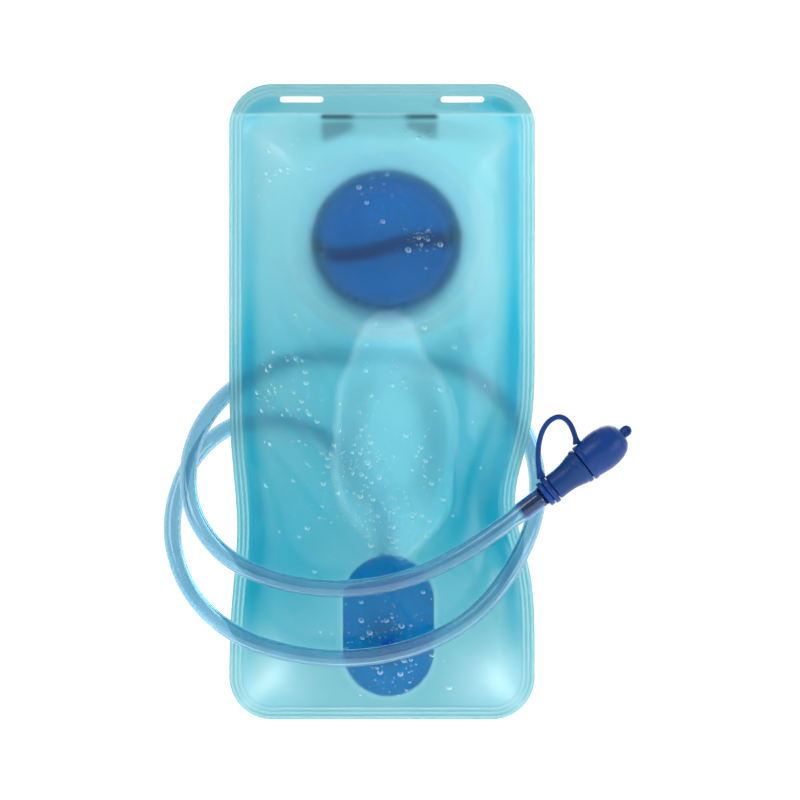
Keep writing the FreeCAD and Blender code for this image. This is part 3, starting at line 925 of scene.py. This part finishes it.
def cut_holes(film, node):
    """Clear the doubled points on the middle line, and open the neck and boss holes."""
    with edited(film) as mesh:
        bmesh.ops.remove_doubles(mesh, verts=mesh.verts, dist=0.00015)
        if node == "front_film":
            inside = [v for v in mesh.verts
                      if mouth_radius(v.co.x, v.co.z) < MOUTH_HOLE_R
                      or math.hypot(v.co.x - BOSS.x, v.co.z - BOSS.z) < BOSS_HOLE_R]
            bmesh.ops.delete(mesh, geom=inside, context="VERTS")


def stadium_prism(x, length, width, low, high):
    """Closed cutter through the bag along Y for one hang slot."""
    r = width / 2.0
    reach = length / 2.0 - r
    loop = []
    for end in (1, -1):
        for angle in np.linspace(-end * math.pi / 2.0, (1.0 - end / 2.0) * math.pi, 17):
            loop.append((x + end * reach + r * math.cos(angle), r * math.sin(angle)))
    count = len(loop)
    verts = [(a, low, b) for a, b in loop] + [(a, high, b) for a, b in loop]
    faces = [tuple(range(count)), tuple(reversed(range(count, 2 * count)))]
    faces += [((i + 1) % count, i, i + count, (i + 1) % count + count) for i in range(count)]
    return link_mesh("slot_cutter", verts, faces)


def cut_slots(film):
    for side in (-1, 1):
        cutter = stadium_prism(side * SLOT_SPACING / 2.0, SLOT_LENGTH, SLOT_WIDTH, -0.01, 0.01)
        cut = film.modifiers.new("slot", "BOOLEAN")
        cut.object = cutter
        cut.operation = "DIFFERENCE"
        cut.solver = "EXACT"
        apply_modifiers(film)
        bpy.data.objects.remove(cutter)


# The wet patch where both films cling together: (x, z) corners of its outline.
PATCH = [(0.004, -0.1195), (0.0165, -0.125), (0.0235, -0.142), (0.0335, -0.157), (0.0395, -0.178),
         (0.0385, -0.205), (0.0370, -0.228), (0.0270, -0.243), (0.0120, -0.2575), (0.0040, -0.2535),
         (-0.0190, -0.232), (-0.0265, -0.212), (-0.0262, -0.186), (-0.0235, -0.160), (-0.0175, -0.146),
         (-0.0115, -0.130), (-0.0040, -0.122)]


def patch_loop():
    """The patch's outline as a smooth closed line of points."""
    points = []
    count = len(PATCH)
    for i in range(count):
        a, b, c, d = (Vector(PATCH[(i + j) % count]) for j in range(4))
        for step in range(6):
            t = step / 6.0
            place = (b * 2.0 + (c - a) * t + (a * 2.0 - b * 5.0 + c * 4.0 - d) * t * t
                     + (b * 3.0 - a - c * 3.0 + d) * t * t * t) * 0.5
            points.append((place.x, place.y))
    return points


PATCH_LOOP = np.array(patch_loop())


def patch_inset(x, z):
    """Distance inside the patch's outline, negative outside it."""
    if abs(x - 0.0065) > 0.045 or abs(z + 0.188) > 0.082:
        return -0.01
    a = PATCH_LOOP
    b = np.roll(PATCH_LOOP, -1, axis=0)
    line = b - a
    share = ((x - a[:, 0]) * line[:, 0] + (z - a[:, 1]) * line[:, 1]) / (line ** 2).sum(axis=1)
    near = a + line * np.clip(share, 0.0, 1.0)[:, None]
    nearest = float(np.min(np.hypot(near[:, 0] - x, near[:, 1] - z)))
    crosses = (a[:, 1] > z) != (b[:, 1] > z)
    span = np.where(crosses, b[:, 1] - a[:, 1], 1.0)
    at = a[:, 0] + (z - a[:, 1]) * (b[:, 0] - a[:, 0]) / span
    inside = np.count_nonzero(crosses & (x < at)) % 2 == 1
    return nearest if inside else -nearest


# ---- droplets

# Wet zones of the rear film: (x, z) middle, spread along x and z, number of tries.
WET_ZONES = [((-0.014, -0.198), (0.010, 0.014), 150), ((0.000, -0.232), (0.012, 0.010), 130),
             ((0.026, -0.205), (0.005, 0.016), 50), ((0.008, -0.150), (0.016, 0.012), 40),
             ((0.004, -0.312), (0.018, 0.022), 190), ((-0.001, -0.055), (0.010, 0.012), 30),
             ((0.022, -0.080), (0.0035, 0.0035), 50), ((0.022, -0.022), (0.008, 0.003), 36),
             ((-0.060, -0.040), (0.010, 0.008), 34), ((-0.054, -0.165), (0.012, 0.010), 80),
             ((-0.048, -0.205), (0.012, 0.022), 40), ((0.000, -0.170), (0.055, 0.090), 110)]


def droplet_places(rng):
    """Seeded (x, z, radius) places of drops that don't touch one another."""
    places = []
    for centre, spread, count in WET_ZONES:
        for _ in range(count):
            x = rng.gauss(centre[0], spread[0])
            z = rng.gauss(centre[1], spread[1])
            radius = 0.00036 + 0.0012 * rng.random() ** 4
            clear = all(math.hypot(x - px, z - pz) > radius + pr for px, pz, pr in places)
            if clear and abs(x) < 0.070 and -0.335 < z < -0.02:
                places.append((x, z, radius))
    return places


def make_droplets(film):
    """Small domes of water on the rear film."""
    rng = random.Random(11)
    tree = surface_tree(film)
    verts, faces = [], []
    around, rings = 12, 4
    dome = 0.6
    sink = 0.00003
    for x, z, radius in droplet_places(rng):
        at, normal = tree.ray_cast(Vector((x, -0.2, z)), Vector((0.0, 1.0, 0.0)))[:2]
        if at is None:
            continue
        outward = normal if normal.y < 0 else -normal
        across = outward.orthogonal().normalized()
        up = outward.cross(across)
        stretch = 1.0 + 0.25 * rng.random()
        first = len(verts)
        for ring in range(rings):
            angle = math.pi / 2.0 * ring / rings
            reach = radius * math.cos(angle)
            lift = radius * dome * math.sin(angle) - sink
            for turn in circle(around):
                place = across * math.cos(turn) + up * math.sin(turn) * stretch
                verts.append(at + place * reach + outward * lift)
        verts.append(at + outward * radius * dome)
        faces += strip_faces(rings, around, first)
        tip = len(verts) - 1
        last = first + (rings - 1) * around
        faces += [(last + k, last + (k + 1) % around, tip) for k in range(around)]
    drops = link_mesh("droplets", verts, faces)
    return finish_piece(drops, root, droplet_material(), "film")


# ---- mouthpiece

def mouthpiece_frame():
    """Matrix from the mouthpiece's own frame, +Z towards its tip, to its place."""
    across = Vector((ALONG.z, 0.0, -ALONG.x))
    matrix = Matrix((across, Vector((0, 1, 0)), ALONG)).transposed().to_4x4()
    matrix.translation = LEASH_AT
    return matrix


def lathe(name, profile, around=64, squeeze=None):
    """Solid of revolution about the mouthpiece's axis, of (radius, height) in mm."""
    matrix = mouthpiece_frame()
    verts = []
    for radius, height in profile:
        for angle in circle(around):
            place = Vector((radius * math.cos(angle), radius * math.sin(angle), height)) / 1000.0
            if squeeze:
                place = squeeze(place)
            verts.append(matrix @ place)
    return weld_points(link_mesh(name, verts, strip_faces(len(profile), around)))


def weld_points(piece):
    """Join doubled points, drop flat faces and turn all faces outwards."""
    with edited(piece) as mesh:
        bmesh.ops.remove_doubles(mesh, verts=mesh.verts, dist=0.00001)
        bmesh.ops.dissolve_degenerate(mesh, edges=mesh.edges, dist=0.000005)
        bmesh.ops.recalc_face_normals(mesh, faces=mesh.faces)
    return piece


def rounded(points, radius, steps=4):
    """A (radius, height) outline with its inner corners rounded by quadratic arcs."""
    result = [points[0]]
    for before, corner, after in zip(points, points[1:], points[2:]):
        corner = Vector(corner)
        into = Vector(before) - corner
        out = Vector(after) - corner
        reach = min(radius, 0.45 * into.length, 0.45 * out.length)
        start = corner + into.normalized() * reach
        end = corner + out.normalized() * reach
        for i in range(steps + 1):
            t = i / steps
            place = start * (1 - t) ** 2 + corner * 2 * t * (1 - t) + end * t ** 2
            result.append((place.x, place.y))
    result.append(points[-1])
    return result


def make_connector(material):
    """Double barb: four steps for the hose, a collar, and a plug for the bite valve."""
    barbs = [(radius, height) for height in (-17.4, -13.7, -10.0, -6.4) for radius in (3.95, 3.3)]
    outline = [(2.0, -19.4), (2.9, -19.4), *barbs, (3.3, -4.6), (7.2, -4.6), (7.35, -3.2), (7.2, -1.9),
               (5.6, -1.9), (5.6, 2.0), (4.35, 2.0), (4.35, 8.0), (3.9, 8.0), (4.35, 13.9), (2.0, 13.9),
               (2.0, -19.4)]
    piece = lathe("connector", rounded(outline, 0.35))
    return finish_piece(piece, root, material, "connector", "mouthpiece_connector")


def make_valve(material):
    """Hollow bite valve with a slit across its tip."""
    outline = [(4.45, 2.0), (7.05, 2.0), (7.35, 2.8), (7.3, 5.0), (7.3, 8.0), (7.7, 12.0), (8.5, 15.6),
               (9.3, 18.0), (9.3, 19.3), (9.9, 19.7), (10.25, 21.0), (10.0, 22.3), (8.0, 22.5), (8.0, 34.0),
               (7.4, 37.5), (5.6, 40.0), (2.6, 41.3), (0, 41.5), (0, 39.8), (2.4, 39.4), (4.3, 37.5),
               (5.0, 34.0), (5.0, 15.0), (4.45, 14.2), (4.45, 2.0)]

    def slit(place):
        half_width, half_length, depth = 0.0012, 0.0042, 0.0005
        if place.z > 0.0375 and abs(place.x) < half_width:
            lower = 1.0 - abs(place.x) / half_width
            lower *= depth * clamp01((half_length - abs(place.y)) / 0.0006)
            return Vector((place.x, place.y, place.z - lower))
        return place
    piece = lathe("bite_valve_skin", rounded(outline, 0.5), 96, slit)
    return finish_piece(piece, root, material, "silicone", "bite_valve")


def make_cover(material):
    """Dust cover over the bite valve, with its pull tab."""
    outline = [(8.4, 36.5), (8.4, 22.9), (10.2, 22.9), (10.7, 23.3), (10.75, 24.3), (10.65, 25.3),
               (10.35, 25.8), (10.8, 29.0), (11.3, 33.5), (11.2, 38.0), (10.35, 42.4), (8.7, 46.0),
               (6.2, 48.4), (3.2, 49.7), (0, 50.0), (0, 43.5), (4.0, 43.0), (7.0, 40.5), (8.4, 36.5)]
    piece = lathe("cover_skin", rounded(outline, 0.8), 96)
    merge(piece, tab_mesh())
    return finish_piece(piece, "cover", material, "cover", "dust_cover")


def tab_mesh():
    """Flat pull tab at the cover's tip: a round end with a dimple in its face."""
    matrix = mouthpiece_frame()
    around = 40
    middle = 52.0
    rim = 2.9
    rings = [(0.0, -0.45), (1.2, -0.45), (1.35, -1.0), (1.6, -1.1), (2.5, -1.1), (2.9, -0.8), (2.9, 0.8),
             (2.5, 1.1), (0.0, 1.1)]
    verts = []
    for radius, thick in rings:
        for angle in circle(around):
            x, z = radius * math.cos(angle), radius * math.sin(angle)
            if radius > 2.0 and z < 0.0:
                x *= 1.0 + 0.35 * (z / rim) ** 2
                z *= 1.7
            verts.append(matrix @ (Vector((x, thick, middle + z)) / 1000.0))
    return weld_points(link_mesh("tab", verts, strip_faces(len(rings), around)))


def merge(piece, other):
    """Move another object's mesh into a piece."""
    with edited(piece) as mesh:
        mesh.from_mesh(other.data)
    bpy.data.objects.remove(other)
    shade_smooth(piece.data)


def make_leash_ring(material):
    outline = [(5.7, -1.2), (6.0, -1.5), (7.5, -1.5), (7.95, -1.1), (8.0, 0.0), (7.95, 1.1), (7.5, 1.5),
               (6.0, 1.5), (5.7, 1.2), (5.7, -1.2)]
    piece = lathe("leash_ring", outline)
    return finish_piece(piece, "leash", material, "cover", "tether_ring")


def make_strap(material):
    """Flat strap in an arch from the ring to the cover's rim, wider where it joins."""
    stations = [(-7.6, 0.0), (-10.8, 1.2), (-14.6, 3.0), (-20.0, 7.0), (-26.2, 13.0), (-30.4, 21.0),
                (-29.2, 29.0), (-22.8, 31.0), (-16.4, 29.2), (-12.6, 27.6), (-10.5, 26.6)]
    points = curve_points([(x / 1000.0, 0.0, z / 1000.0) for x, z in stations], 4, 10)
    matrix = mouthpiece_frame()
    section = [(-1, -0.55), (-0.8, -1), (0.8, -1), (1, -0.55), (1, 0.55), (0.8, 1), (-0.8, 1), (-1, 0.55)]
    verts = []
    for i, (point, tangent) in enumerate(zip(points, path_tangents(points))):
        out = Vector((0, 1, 0)).cross(tangent)
        share = i / (len(points) - 1)
        flare = 0.9 * (1.0 - smooth(share / 0.10)) + 0.8 * smooth((share - 0.92) / 0.08)
        half_width = 0.00145 + 0.0011 * flare
        half_thick = 0.00075 + 0.0002 * flare
        for u, w in section:
            place = point + out * u * half_width + Vector((0, 1, 0)) * w * half_thick
            verts.append(matrix @ place)
    count = len(section)
    faces = strip_faces(len(points), count)
    faces.append(tuple(range(count)))
    faces.append(tuple(range(len(verts) - count, len(verts))))
    strap = weld_points(link_mesh("strap", verts, faces))
    smoother = strap.modifiers.new("smooth", "SUBSURF")
    smoother.levels = smoother.render_levels = 1
    apply_modifiers(strap)
    paint(strap, material)
    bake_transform(strap)
    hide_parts("tether_strap")
    return strap


# ---- carried-over nodes

def dress(node, material):
    """Give a CAD node its material, and smooth its round faces."""
    obj = frame["nodes"][node]
    paint(obj, material)
    shade_smooth(obj.data)
    obj.data.set_sharp_from_angle(angle=math.radians(32.0))


# ---- build

make_camera()
make_world()
make_floor()
bag_middle = (0.0, 0.0, -0.17)
make_light("key", (-0.9, -1.0, 0.7), bag_middle, 0.7, 5.0)
make_light("back", (0.3, 1.1, 0.4), bag_middle, 1.1, 7.0)
make_light("streak", (-0.5, -1.0, -1.0), (-0.03, 0.0, -0.28), 1.0, 14.0, 0.3)
make_light("fill", (0.9, -0.7, -0.1), (0.0, 0.0, -0.2), 0.6, 3.0)

hose, hose_path, hose_length = make_hose()
finish_piece(hose, root, hose_material(), "hose", "drink_hose")

rear = make_film("rear_film", -1.0, film_material("rear_film", 0.22, 0.08, 0.15))
front = make_film("front_film", 1.0, film_material("front_film", 0.52, 0.24, 0.60))
make_droplets(rear)

silicone = plastic("silicone", (0.002, 0.038, 0.17), (0.003, 0.052, 0.22), 0.34, 0.05)
cover_plastic = plastic("cover", (0.002, 0.036, 0.19), (0.003, 0.050, 0.25), 0.32, 0.05)
connector_plastic = plastic("connector", (0.001, 0.045, 0.24), (0.002, 0.06, 0.30), 0.3)
connector = make_connector(connector_plastic)
valve = make_valve(silicone)
cover = make_cover(cover_plastic)
ring = make_leash_ring(cover_plastic)
strap = make_strap(cover_plastic)

dress("screw_cap", cap_material())
dress("cap_gasket", milky_clear("gasket", 0.12))
dress("mouth_neck", milky_clear("neck", 0.05))
dress("outlet_base", clear_blue("outlet", (0.001, 0.44, 0.74), (0.002, 0.52, 0.82), 0.6))
dress("outlet_elbow", clear_blue("elbow", (0.003, 0.36, 0.80), (0.005, 0.42, 0.88), 0.42))
dress("outlet_o_ring", plastic("o_ring", (0.70, 0.74, 0.76), (0.80, 0.82, 0.84), 0.5))
